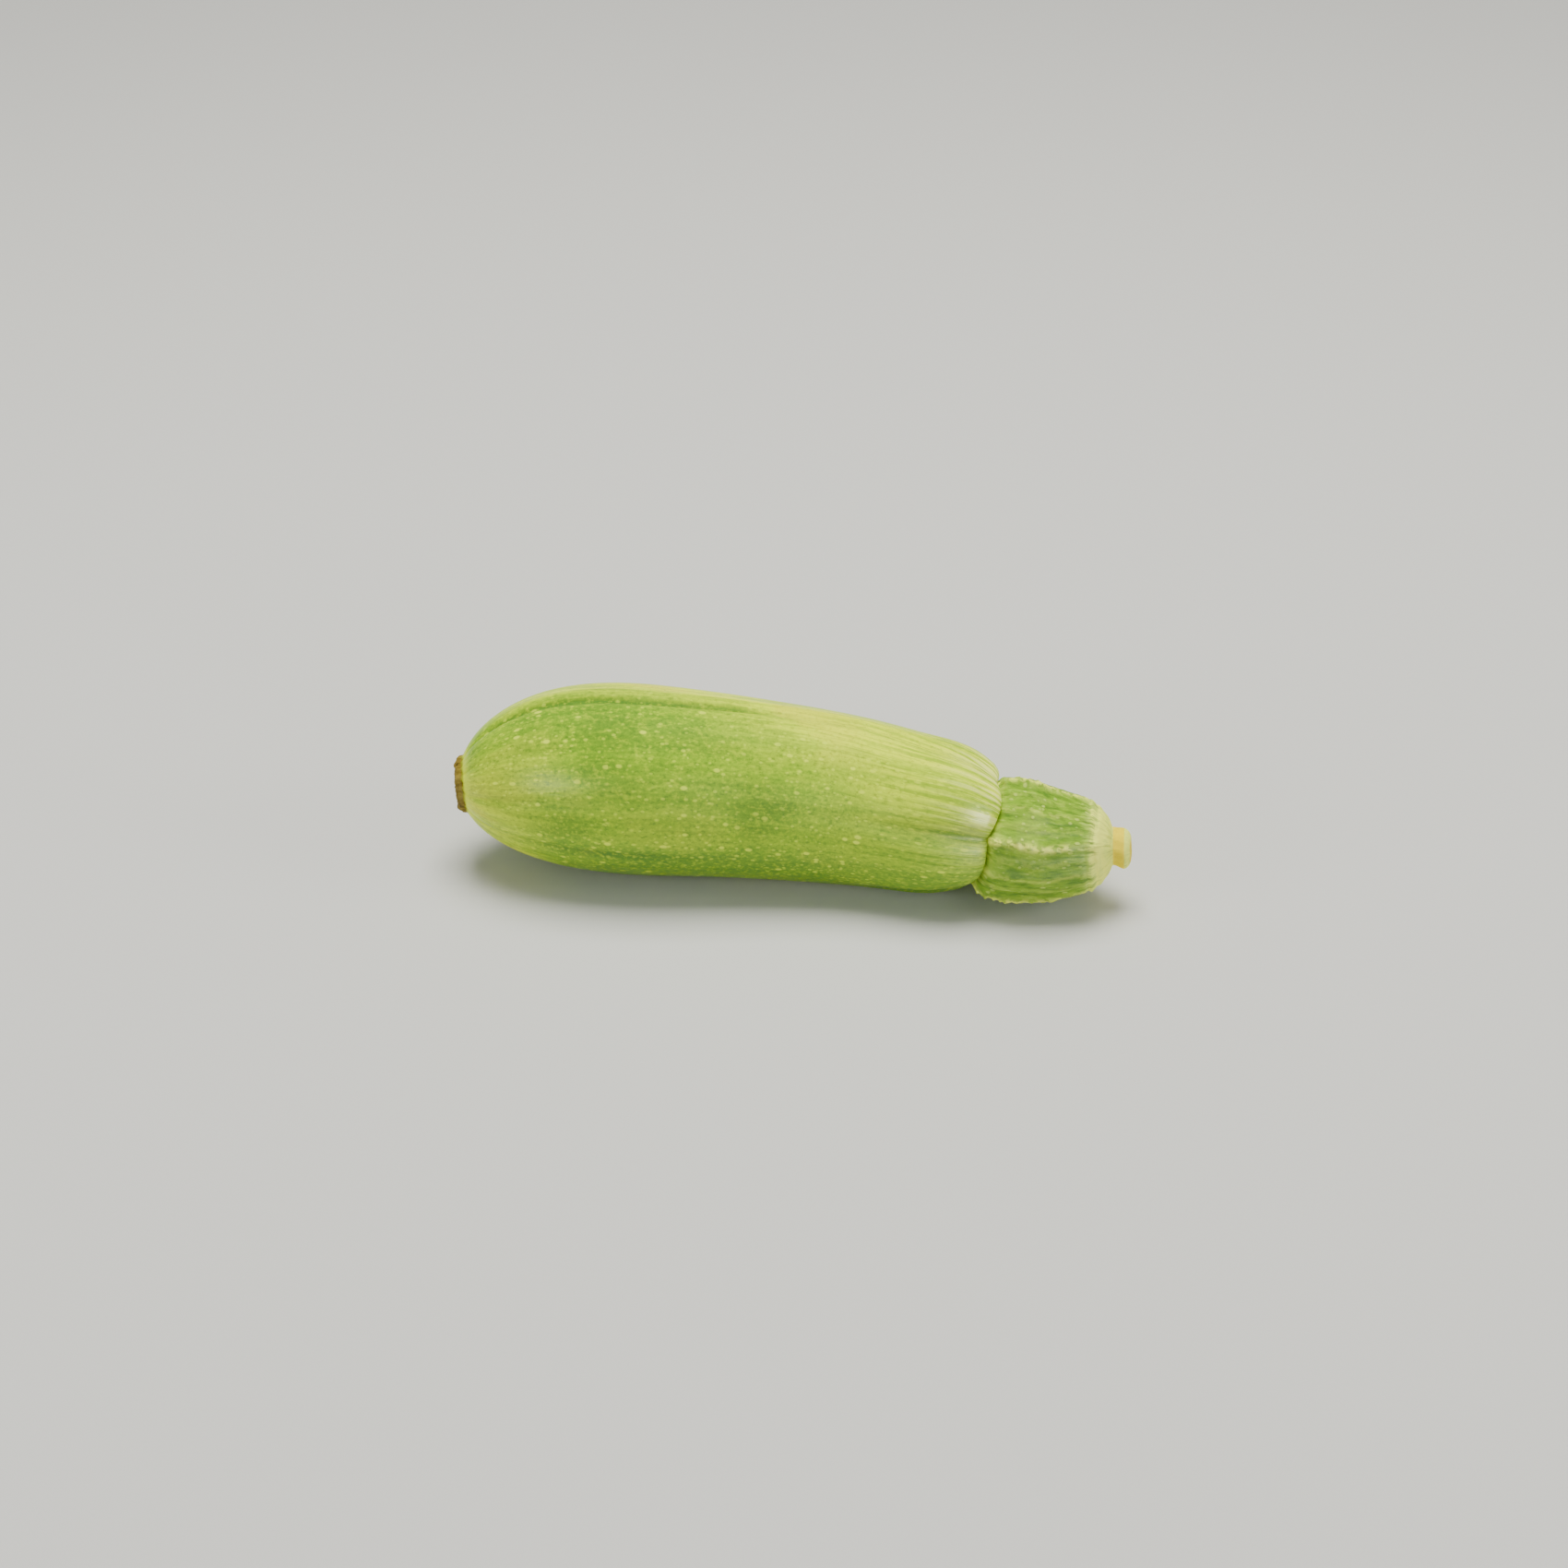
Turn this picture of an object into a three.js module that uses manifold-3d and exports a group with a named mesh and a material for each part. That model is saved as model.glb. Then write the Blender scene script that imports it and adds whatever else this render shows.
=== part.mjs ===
// A pale-green zucchini (courgette), as picked, lying on its side.
//
// Two nodes: the fruit, with the corky scar where its flower dropped off, and the five-ridged stem
// that it hung from, with its cut rim and the knob of the stem's core.
//
// Millimetres, +Z up. +X runs from the blossom end to the stem, -Y is the front, and the fruit
// stands on the flat that its own weight presses into its underside, at z = 0. The origin is the
// middle of the footprint.
//
// Both nodes are turned on one lathe axis first. Every point of that turning is then named by a
// station along the axis, an angle round it and a radius, gets its ribs and ridges, and is carried
// to the bent axis of growth.

import * as THREE from "three";
import { mergeVertices } from "three/addons/utils/BufferGeometryUtils.js";
import Module from "manifold-3d";

const wasm = await Module();
wasm.setup();

// ---------------------------------------------------------------- driving dimensions

// The fruit's profile, by station from the blossom end.
const FRUIT_LENGTH = 128.6;
const BELLY_RADIUS = 24;
const BELLY_STATION = 45;
const NOSE_BLUNTNESS = 0.8; // how far the nose's curve would run on past station 0
const NOSE_FULLNESS = 2.4; // 2 is an ellipse, and more is blunter
const SHOULDER_STATION = 112.5;
const SHOULDER_ROLL = 26.6; // length of the ellipse that rounds the shoulder off
const NECK_TAPER = 0.19; // share of the radius lost from belly to shoulder
const TAPER_CURVE = 1.25;

// The blossom scar, a low corky disc that the skin ends at.
const SCAR_RADIUS = 7.3;
const SCAR_HEIGHT = 2.2;
const SCAR_STATION = 1;

// The stem, by station from the joint.
const STEM_BASE_RADIUS = 13.8;
const STEM_BELLY_RADIUS = 14.8;
const STEM_RIM_RADIUS = 10.8;
const STEM_RIM_STATION = 26.2;
const STEM_FACE_STATION = 30.6; // the cut face, past the rounded rim
const KNOB_RADIUS = 4.9;
const KNOB_LENGTH = 4.5;
const JOINT_GAP = 0.3;

// Five ridges round the stem, and the five lobes of the shoulder between them. Angles are in
// degrees, from the front (-Y) up over the top (+Z).
const RIDGE_COUNT = 5;
const RIDGE_ANGLE = 23;
const RIDGE_HEIGHT = 1.5;
const RIDGE_WIDTH = 11;
const STEM_TWIST = 6;
const FRUIT_TWIST = 12; // the ribs turn this far from the neck back to the blossom end
const NECK_FURROW = 0.9;
const BODY_FURROW = 0.16;
const NOSE_FURROW = 0.3;
const FURROW_WIDTH = 8;

// The joint between fruit and stem, which is faintly scalloped and set a little askew.
const JOINT_SCALLOP = 0.4;
const JOINT_TILT = 3;
const JOINT_TILT_ANGLE = 34;
const JOINT_REACH = 30; // how far back along the fruit the scallops are felt

// The axis of growth: how far it sways to the front and how high it lies, every AXIS_STEP.
const AXIS_STEP = 24;
const SWAY = [-1.2, -1.8, -0.4, 0.4, 3.5, 11.0, 16.2, 19.2];
const LIFT = [22.3, 24.0, 23.6, 22.1, 20.4, 18.9, 16.0, 17.0];

const AROUND = 60; // facets round each turning
const FRUIT_RINGS = 34;
const UP = new THREE.Vector3(0, 0, 1);

// ---------------------------------------------------------------- the axis of growth

const axis = new THREE.CatmullRomCurve3(
  SWAY.map((sway, i) => new THREE.Vector3(i * AXIS_STEP, -sway, LIFT[i])),
  false,
  "catmullrom",
  0.5,
);
const AXIS_LENGTH = (SWAY.length - 1) * AXIS_STEP;

// The place of a point at a station, an angle in radians and a distance from the bent axis.
function grown(station, angle, radius) {
  const t = THREE.MathUtils.clamp(station / AXIS_LENGTH, 0, 1);
  const along = axis.getTangent(t);
  const front = along.clone().cross(UP).normalize();
  const above = front.clone().cross(along);
  return axis
    .getPoint(t)
    .addScaledVector(along, station - t * AXIS_LENGTH)
    .addScaledVector(front, radius * Math.cos(angle))
    .addScaledVector(above, radius * Math.sin(angle));
}

// ---------------------------------------------------------------- ribs, ridges and the joint

const radians = THREE.MathUtils.degToRad;
const smooth = THREE.MathUtils.smoothstep;

// 1 on each of count equal crests round the axis, the first at angle first, and 0 between them.
function crest(angle, first, count, width) {
  const pitch = (2 * Math.PI) / count;
  const off = THREE.MathUtils.euclideanModulo(angle - first + pitch / 2, pitch) - pitch / 2;
  return Math.exp(-((off / width) ** 2));
}

// The mean radius of the fruit's skin at a station.
function fruitRadius(station) {
  const short = 1 - (station + NOSE_BLUNTNESS) / (BELLY_STATION + NOSE_BLUNTNESS);
  const nose = Math.sqrt(1 - Math.max(0, short) ** NOSE_FULLNESS);
  const past = Math.max(0, station - BELLY_STATION) / (SHOULDER_STATION - BELLY_STATION);
  const rolled = Math.max(0, station - SHOULDER_STATION) / SHOULDER_ROLL;
  return BELLY_RADIUS * nose * (1 - NECK_TAPER * past ** TAPER_CURVE) * Math.sqrt(1 - rolled ** 2);
}

const NECK_RADIUS = fruitRadius(FRUIT_LENGTH);

// How far the joint stands forward of its mean station, at an angle and a radius.
function jointShift(angle, radius) {
  const lobes = -Math.cos(RIDGE_COUNT * (angle - radians(RIDGE_ANGLE)));
  const askew = JOINT_TILT * Math.cos(angle - radians(JOINT_TILT_ANGLE));
  return Math.min(1, radius / NECK_RADIUS) ** 2 * (JOINT_SCALLOP * lobes + askew);
}

// The furrows of the fruit's skin: five deep ones that run out from the stem's ridges, and five
// faint ones between them.
function furrows(station, angle) {
  const first = radians(RIDGE_ANGLE - FRUIT_TWIST * (1 - station / FRUIT_LENGTH));
  const width = radians(FURROW_WIDTH);
  const neck = smooth(station, FRUIT_LENGTH - JOINT_REACH, FRUIT_LENGTH);
  const nose = 1 - smooth(station, 0, BELLY_STATION / 2);
  const main = crest(angle, first, RIDGE_COUNT, width);
  const every = crest(angle, first, 2 * RIDGE_COUNT, width);
  return NECK_FURROW * neck * main + (BODY_FURROW + NOSE_FURROW * nose) * every;
}

// The stem's ridges: bold at the foot, lower towards the cut, with a low rib between each pair.
function ridges(station, angle) {
  const first = radians(RIDGE_ANGLE + (STEM_TWIST * station) / STEM_RIM_STATION);
  const bold = RIDGE_HEIGHT * (1 - 0.5 * smooth(station, 0, STEM_RIM_STATION));
  const between = first + Math.PI / RIDGE_COUNT;
  const main = crest(angle, first, RIDGE_COUNT, radians(RIDGE_WIDTH));
  const low = crest(angle, between, RIDGE_COUNT, radians(RIDGE_WIDTH));
  return bold * (main + 0.3 * low - 0.25);
}

// ---------------------------------------------------------------- solids

// Turns a profile of (radius, station) points, then moves every vertex to where place puts it.
function turned(profile, place) {
  const geometry = new THREE.LatheGeometry(profile, AROUND);
  geometry.deleteAttribute("normal");
  geometry.deleteAttribute("uv");
  const positions = geometry.getAttribute("position");
  const point = new THREE.Vector3();
  for (let i = 0; i < positions.count; i++) {
    point.fromBufferAttribute(positions, i);
    const radius = Math.hypot(point.x, point.z);
    const turn = (Math.floor(i / profile.length) % AROUND) / AROUND;
    const placed = place(radius, -2 * Math.PI * turn, point.y);
    positions.setXYZ(i, placed.x, placed.y, placed.z);
  }
  return mergeVertices(geometry, 1e-4);
}

// A closed three.js geometry as a manifold-3d solid.
function solid(geometry) {
  return new wasm.Manifold(
    new wasm.Mesh({
      numProp: 3,
      vertProperties: new Float32Array(geometry.getAttribute("position").array),
      triVerts: new Uint32Array(geometry.index.array),
    }),
  );
}

// A solid as a three.js geometry.
function geometryOf(made) {
  const mesh = made.getMesh();
  return new THREE.BufferGeometry()
    .setAttribute("position", new THREE.BufferAttribute(mesh.vertProperties, 3))
    .setIndex(new THREE.BufferAttribute(mesh.triVerts, 1));
}

// The fruit, less what lies under the surface that it is pressed flat on.
function fruitGeometry() {
  const scar = [
    new THREE.Vector2(0, SCAR_STATION - 0.9 * SCAR_HEIGHT),
    new THREE.Vector2(0.5 * SCAR_RADIUS, SCAR_STATION - SCAR_HEIGHT),
    new THREE.Vector2(0.85 * SCAR_RADIUS, SCAR_STATION - 0.75 * SCAR_HEIGHT),
    new THREE.Vector2(SCAR_RADIUS, SCAR_STATION - 0.2 * SCAR_HEIGHT),
  ];
  const skin = Array.from({ length: FRUIT_RINGS + 1 }, (_, i) => {
    const share = (1 - Math.cos((Math.PI * i) / FRUIT_RINGS)) / 2;
    const station = THREE.MathUtils.lerp(SCAR_STATION, FRUIT_LENGTH, share);
    return new THREE.Vector2(fruitRadius(station), station);
  });
  const cap = [0.66, 0.33, 0].map((share) => new THREE.Vector2(share * NECK_RADIUS, FRUIT_LENGTH));

  const turning = turned([...scar, ...skin, ...cap], (radius, angle, station) => {
    const share = station < SCAR_STATION ? 0 : radius / fruitRadius(station);
    const ribbed = radius - share ** 2 * furrows(station, angle);
    const pull = smooth(station, FRUIT_LENGTH - JOINT_REACH, FRUIT_LENGTH);
    return grown(station + pull * jointShift(angle, ribbed), angle, ribbed);
  });

  const ground = new THREE.BoxGeometry(4 * FRUIT_LENGTH, 4 * FRUIT_LENGTH, 2 * BELLY_RADIUS);
  ground.translate(0, 0, -BELLY_RADIUS).deleteAttribute("normal");
  ground.deleteAttribute("uv");
  return geometryOf(solid(turning).subtract(solid(mergeVertices(ground))));
}

// The stem, seated on the fruit's neck across the joint's gap.
function stemGeometry() {
  const side = new THREE.SplineCurve([
    new THREE.Vector2(STEM_BASE_RADIUS, 0),
    new THREE.Vector2(STEM_BELLY_RADIUS, 0.27 * STEM_RIM_STATION),
    new THREE.Vector2(STEM_BELLY_RADIUS - 0.4, 0.48 * STEM_RIM_STATION),
    new THREE.Vector2(STEM_BELLY_RADIUS - 1.8, 0.76 * STEM_RIM_STATION),
    new THREE.Vector2(STEM_RIM_RADIUS, STEM_RIM_STATION),
  ]).getPoints(12);
  const end = STEM_FACE_STATION + KNOB_LENGTH;
  const base = [0, 0.33, 0.66].map((share) => new THREE.Vector2(share * STEM_BASE_RADIUS, 0));
  const cut = [
    new THREE.Vector2(0.8 * STEM_RIM_RADIUS, STEM_FACE_STATION - 2),
    new THREE.Vector2(0.65 * STEM_RIM_RADIUS, STEM_FACE_STATION - 0.7),
    new THREE.Vector2(KNOB_RADIUS + 0.6, STEM_FACE_STATION),
    new THREE.Vector2(KNOB_RADIUS - 0.5, STEM_FACE_STATION + 0.3),
    new THREE.Vector2(KNOB_RADIUS - 0.4, STEM_FACE_STATION + 0.5 * KNOB_LENGTH),
    new THREE.Vector2(KNOB_RADIUS, end - 0.9),
    new THREE.Vector2(KNOB_RADIUS - 0.6, end - 0.1),
    new THREE.Vector2(0, end),
  ];

  return turned([...base, ...side, ...cut], (radius, angle, station) => {
    const share = station === 0 ? radius / STEM_BASE_RADIUS : 1;
    const rise = share ** 2 * smooth(radius, KNOB_RADIUS + 1, STEM_RIM_RADIUS);
    const ridged = radius + rise * ridges(station, angle);
    const pull = 1 - smooth(station, 0, 0.7 * STEM_RIM_STATION);
    const seat = FRUIT_LENGTH + JOINT_GAP + pull * jointShift(angle, ridged);
    return grown(seat + station, angle, ridged);
  });
}

// ---------------------------------------------------------------- the zucchini

const skin = new THREE.MeshStandardMaterial({ color: 0xa3b84e, roughness: 0.38, metalness: 0 });
const stalk = new THREE.MeshStandardMaterial({ color: 0x6f9a3c, roughness: 0.6, metalness: 0 });

const zucchini = new THREE.Group();
for (const [name, geometry, material] of [
  ["fruit", fruitGeometry(), skin],
  ["stem", stemGeometry(), stalk],
]) {
  const mesh = new THREE.Mesh(geometry, material);
  mesh.name = name;
  zucchini.add(mesh);
}

const footprint = new THREE.Box3().setFromObject(zucchini).getCenter(new THREE.Vector3());
zucchini.position.set(-footprint.x, -footprint.y, 0);

export default zucchini;
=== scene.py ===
"""The looks of a pale-green zucchini that lies on its side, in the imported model's frame."""

import logging
import math
from dataclasses import dataclass, field
from enum import Enum

import bpy
import numpy as np
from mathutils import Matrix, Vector, noise


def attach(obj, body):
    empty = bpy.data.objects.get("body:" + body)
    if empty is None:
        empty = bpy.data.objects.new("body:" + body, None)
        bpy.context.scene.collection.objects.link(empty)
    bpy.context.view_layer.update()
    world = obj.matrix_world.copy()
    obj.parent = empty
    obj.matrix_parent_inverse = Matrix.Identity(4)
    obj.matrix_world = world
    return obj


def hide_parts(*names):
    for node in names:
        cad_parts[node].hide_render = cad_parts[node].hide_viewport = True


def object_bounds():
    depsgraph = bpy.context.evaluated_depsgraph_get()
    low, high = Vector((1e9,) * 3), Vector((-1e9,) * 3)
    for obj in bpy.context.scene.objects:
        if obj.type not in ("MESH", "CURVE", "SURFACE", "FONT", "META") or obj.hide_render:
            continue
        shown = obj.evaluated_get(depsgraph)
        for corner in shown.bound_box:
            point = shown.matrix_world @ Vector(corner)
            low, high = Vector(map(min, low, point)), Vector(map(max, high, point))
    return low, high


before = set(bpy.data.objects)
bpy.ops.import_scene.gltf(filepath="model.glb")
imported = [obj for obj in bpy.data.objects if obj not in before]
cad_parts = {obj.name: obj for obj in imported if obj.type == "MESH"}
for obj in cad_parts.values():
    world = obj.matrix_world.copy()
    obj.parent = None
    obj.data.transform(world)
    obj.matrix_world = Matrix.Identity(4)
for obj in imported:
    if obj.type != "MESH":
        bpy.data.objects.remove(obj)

CAD_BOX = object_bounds()
MM = 0.001
PATTERN_UNIT = 0.1  # a pattern is laid out in centimetres, and the plant in millimetres
log = logging.getLogger("zucchini")

Colour = tuple[float, float, float]


class Slot(Enum):
    """The record's material slots."""

    SKIN = "skin"
    STALK = "stalk"


# ------------------------------------------------------------------ shader language


class Value:
    """A number's socket that can be written into sums, products and powers."""

    def __init__(self, tree: bpy.types.NodeTree, socket: bpy.types.NodeSocket) -> None:
        """Wraps a socket of a tree."""
        self.tree = tree
        self.socket = socket

    def _math(self, operation: str, first: object, second: object) -> "Value":
        """Adds one Math node.

        Args:
            operation: The Math node's operation.
            first: The first operand, a Value or a number.
            second: The second operand, a Value or a number.

        Returns:
            The node's result.
        """
        node = self.tree.nodes.new("ShaderNodeMath")
        node.operation = operation
        for socket, operand in zip(node.inputs, (first, second)):
            if isinstance(operand, Value):
                self.tree.links.new(operand.socket, socket)
            else:
                socket.default_value = float(operand)
        return Value(self.tree, node.outputs[0])

    def __add__(self, other: object) -> "Value":
        """Sum."""
        return self._math("ADD", self, other)

    def __radd__(self, other: object) -> "Value":
        """Sum, reflected."""
        return self._math("ADD", other, self)

    def __sub__(self, other: object) -> "Value":
        """Difference."""
        return self._math("SUBTRACT", self, other)

    def __rsub__(self, other: object) -> "Value":
        """Difference, reflected."""
        return self._math("SUBTRACT", other, self)

    def __mul__(self, other: object) -> "Value":
        """Product."""
        return self._math("MULTIPLY", self, other)

    def __rmul__(self, other: object) -> "Value":
        """Product, reflected."""
        return self._math("MULTIPLY", other, self)

    def over(self, other: object) -> "Value":
        """The larger of the two."""
        return self._math("MAXIMUM", self, other)


class Finish:
    """A material under construction: its node tree and the pattern coordinates of its piece."""

    def __init__(self, name: str) -> None:
        """Starts a material of one Principled shader."""
        self.material = bpy.data.materials.new(name)
        self.material.use_nodes = True
        self.tree = self.material.node_tree
        self.shader = next(n for n in self.tree.nodes if n.type == "BSDF_PRINCIPLED")

    def node(
        self, kind: str, settings: dict | None = None, inputs: dict | None = None
    ) -> bpy.types.Node:
        """Adds a node.

        Args:
            kind: The node's type.
            settings: Attributes of the node, set first.
            inputs: Socket names or numbers, with the value or the link of each.

        Returns:
            The node.
        """
        made = self.tree.nodes.new(kind)
        for key, setting in (settings or {}).items():
            setattr(made, key, setting)
        for key, given in (inputs or {}).items():
            self.feed(made.inputs[key], given)
        return made

    def feed(self, socket: bpy.types.NodeSocket, given: object) -> None:
        """Links or sets a socket.

        Args:
            socket: The socket to fill.
            given: A Value, a socket, a number, a vector or a colour.
        """
        if isinstance(given, Value):
            self.tree.links.new(given.socket, socket)
        elif isinstance(given, bpy.types.NodeSocket):
            self.tree.links.new(given, socket)
        elif socket.type == "RGBA":
            socket.default_value = (*given, 1.0)
        else:
            socket.default_value = given

    def attribute(self, name: str) -> bpy.types.NodeSocket:
        """The vector of a mesh attribute."""
        return self.node("ShaderNodeAttribute", {"attribute_name": name}).outputs["Vector"]

    def split(self, vector: bpy.types.NodeSocket) -> tuple[Value, Value, Value]:
        """The three numbers of a vector."""
        outputs = self.node("ShaderNodeSeparateXYZ", inputs={0: vector}).outputs
        return Value(self.tree, outputs[0]), Value(self.tree, outputs[1]), Value(self.tree, outputs[2])

    def stretched(self, vector: bpy.types.NodeSocket, factors: Colour) -> bpy.types.NodeSocket:
        """A vector with each part multiplied."""
        settings = {"operation": "MULTIPLY"}
        return self.node("ShaderNodeVectorMath", settings, {0: vector, 1: factors}).outputs[0]

    def noise(
        self, vector: bpy.types.NodeSocket, scale: float, detail: float = 3.0, rough: float = 0.55
    ) -> Value:
        """Cloudy noise between 0 and 1.

        Args:
            vector: Where the noise is read.
            scale: Clouds to the unit of length.
            detail: Octaves.
            rough: How strong the finer octaves are.

        Returns:
            The noise.
        """
        inputs = {"Vector": vector, "Scale": scale, "Detail": detail, "Roughness": rough}
        return Value(self.tree, self.node("ShaderNodeTexNoise", inputs=inputs).outputs[0])

    def ramp(self, value: Value, low: float, high: float) -> Value:
        """A smooth step from 0 at low to 1 at high, either of which may be the larger."""
        settings = {"interpolation_type": "SMOOTHSTEP"}
        ends = {"Value": value, "From Min": min(low, high), "From Max": max(low, high)}
        ends |= {"To Min": float(low > high), "To Max": float(low <= high)}
        return Value(self.tree, self.node("ShaderNodeMapRange", settings, ends).outputs[0])

    def mix(self, factor: object, first: object, second: object) -> bpy.types.NodeSocket:
        """The colour that lies factor of the way from the first colour to the second."""
        made = self.node("ShaderNodeMix", {"data_type": "RGBA"})
        self.feed(made.inputs["Factor"], factor)
        for socket, colour in ((made.inputs[6], first), (made.inputs[7], second)):
            self.feed(socket, colour)
        return made.outputs[2]

    def dots(self, vector: bpy.types.NodeSocket, scale: float, size: float, share: float) -> Value:
        """Scattered round dots of unequal size.

        Args:
            vector: Where the dots are read.
            scale: Dots to the unit of length, before any are left out.
            size: The largest dot's radius, as a share of the spacing.
            share: The share of the dots that is kept.

        Returns:
            1 on a dot and 0 off it.
        """
        cells = self.node("ShaderNodeTexVoronoi", inputs={"Vector": vector, "Scale": scale})
        distance = Value(self.tree, cells.outputs["Distance"])
        lot, strength, _ = self.split(cells.outputs["Color"])
        kept = self.ramp(lot, 1.0 - share, 1.02 - share)
        radius = (0.6 + 0.4 * strength) * size
        return self.ramp(radius - distance, 0.0, 0.45 * size) * kept * (0.4 + 0.6 * strength)

    def bump(self, height: Value, distance: float) -> bpy.types.NodeSocket:
        """The surface normal over a relief of so many metres."""
        inputs = {"Height": height, "Distance": distance, "Strength": 1.0}
        return self.node("ShaderNodeBump", inputs=inputs).outputs[0]

    def close(self, varying: dict[str, object], constants: dict[str, object]) -> bpy.types.Material:
        """Fills the shader.

        Args:
            varying: What changes over the surface, by socket.
            constants: What doesn't, by socket.

        Returns:
            The finished material.
        """
        for key, given in {**constants, **varying}.items():
            self.feed(self.shader.inputs[key], given)
        return self.material


@dataclass(frozen=True)
class SkinFinish:
    """Waxy skin with lengthwise streaks and pale speckles, painted shade in its furrows, seams and
    lower flank, and the corky blossom scar.
    """

    deep: Colour = (0.058, 0.185, 0.022)
    green: Colour = (0.200, 0.415, 0.008)
    light: Colour = (0.360, 0.580, 0.010)
    pale: Colour = (0.800, 0.940, 0.004)
    speckle: Colour = (0.820, 0.960, 0.040)
    bloom: Colour = (0.960, 0.980, 0.330)
    sunned: Colour = (0.760, 0.660, 0.050)
    cork: Colour = (0.200, 0.130, 0.012)
    cork_dark: Colour = (0.040, 0.028, 0.008)
    cork_light: Colour = (0.380, 0.280, 0.040)
    roughness: float = 0.34

    def build(self) -> bpy.types.Material:
        """Makes the material."""
        f = Finish("waxy_skin")
        growth = f.attribute("growth")
        along, _, _ = f.split(growth)
        scar, crown, painted_shade = f.split(f.attribute("marks"))
        knuckle = f.ramp(along, 11.6, 13.6) * crown

        streaks = f.noise(f.stretched(growth, (0.13, 1.0, 1.0)), 3.4, 4.0, 0.6)
        threads = f.noise(f.stretched(growth, (0.05, 1.0, 1.0)), 9.0, 3.0, 0.6)
        clouds = f.noise(f.stretched(growth, (0.5, 1.0, 1.0)), 0.7, 3.0, 0.5)
        grain = f.noise(f.stretched(growth, (0.75, 1.0, 1.0)), 10.5, 4.0, 0.70)
        flecks = f.dots(f.stretched(growth, (0.66, 1.0, 1.0)), 4.2, 0.33, 0.62)
        freckles = f.dots(f.stretched(growth, (0.72, 1.0, 1.0)), 8.4, 0.42, 0.80)

        colour = f.mix(0.25 + 0.5 * f.ramp(streaks, 0.36, 0.66), self.green, self.light)
        colour = f.mix(f.ramp(clouds, 0.52, 0.32) * 0.40, colour, self.deep)
        neck = f.ramp(along, 7.5, 12.5)
        colour = f.mix(f.ramp(threads, 0.50, 0.66) * 0.36 * (1.0 + neck), colour, self.light)
        colour = f.mix(f.ramp(threads, 0.48, 0.32) * 0.26 * (1.0 + neck), colour, self.deep)
        # Painted shade: deep green laid into the furrows and seams, along the lower flank and in a
        # band just below the top seam.
        colour = f.mix(painted_shade * 0.90, colour, self.deep)
        bands = f.ramp(streaks + threads * 0.6, 0.70, 0.90)
        colour = f.mix(crown * (0.48 + 0.52 * bands), colour, self.pale)
        sun = (0.25 + crown) * (1.0 - neck) * f.ramp(clouds, 0.47, 0.58)
        colour = f.mix(sun * 0.34, colour, self.sunned)
        colour = f.mix(f.ramp(grain, 0.50, 0.64) * 0.26, colour, self.pale)
        colour = f.mix(f.ramp(grain, 0.48, 0.34) * (0.55 - 0.28 * crown), colour, self.deep)
        colour = f.mix(neck * f.ramp(threads, 0.49, 0.38) * 0.42, colour, self.green)
        colour = f.mix(knuckle * f.ramp(threads, 0.44, 0.56) * 0.90, colour, self.bloom)
        dotted = f.ramp(clouds, 0.30, 0.52) * (1.0 - 0.45 * crown)
        spots = (flecks * 0.82).over(freckles * 0.50) * (0.60 + 0.40 * dotted)
        colour = f.mix(spots, colour, self.speckle)

        crumbs = f.noise(growth, 9.0, 5.0, 0.7)
        cork = self.cork_colour(f, growth, along, crumbs)
        halo = f.ramp(along, 0.50, 0.04) * (1.0 - scar)
        colour = f.mix(halo * 0.75, colour, self.pale)
        colour = f.mix(scar, colour, cork)

        relief = streaks * 0.35 + threads * 0.25 + spots * 0.25 + grain * 0.12 + scar * crumbs * 3.0
        dull = (0.04 + 0.18 * neck) * (1.0 - crown)
        wax = self.roughness + dull + 0.14 * (grain - 0.5) + 0.10 * (clouds - 0.5)
        return f.close(
            {
                "Base Color": colour,
                "Roughness": wax + scar * 0.42,
                "Normal": f.bump(relief, 0.00022),
            },
            {
                "IOR": 1.45,
                "Specular IOR Level": 0.36,
                "Specular Tint": (0.95, 1.0, 0.60),
                "Subsurface Weight": 0.12,
                "Subsurface Radius": (1.0, 1.0, 0.25),
                "Subsurface Scale": 0.003,
            },
        )

    def cork_colour(
        self, f: Finish, growth: bpy.types.NodeSocket, along: Value, crumbs: Value
    ) -> bpy.types.NodeSocket:
        """The crumbly cork of the scar, with dark points round its rim.

        Args:
            f: The material under construction.
            growth: Where the pattern is read.
            along: How far over the skin a point lies from the scar's edge.
            crumbs: The cork's crumbs.

        Returns:
            The cork's colour.
        """
        cork = f.mix(f.ramp(crumbs, 0.40, 0.62), self.cork, self.cork_light)
        cork = f.mix(f.ramp(crumbs, 0.44, 0.34), cork, self.cork_dark)
        points = f.dots(f.stretched(growth, (1.0, 0.42, 0.42)), 3.2, 0.42, 0.6)
        rim = f.ramp(along, -0.22, -0.08) * f.ramp(along, 0.10, 0.03)
        return f.mix(rim * (0.25 + 0.75 * points), cork, self.cork_dark)


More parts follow.
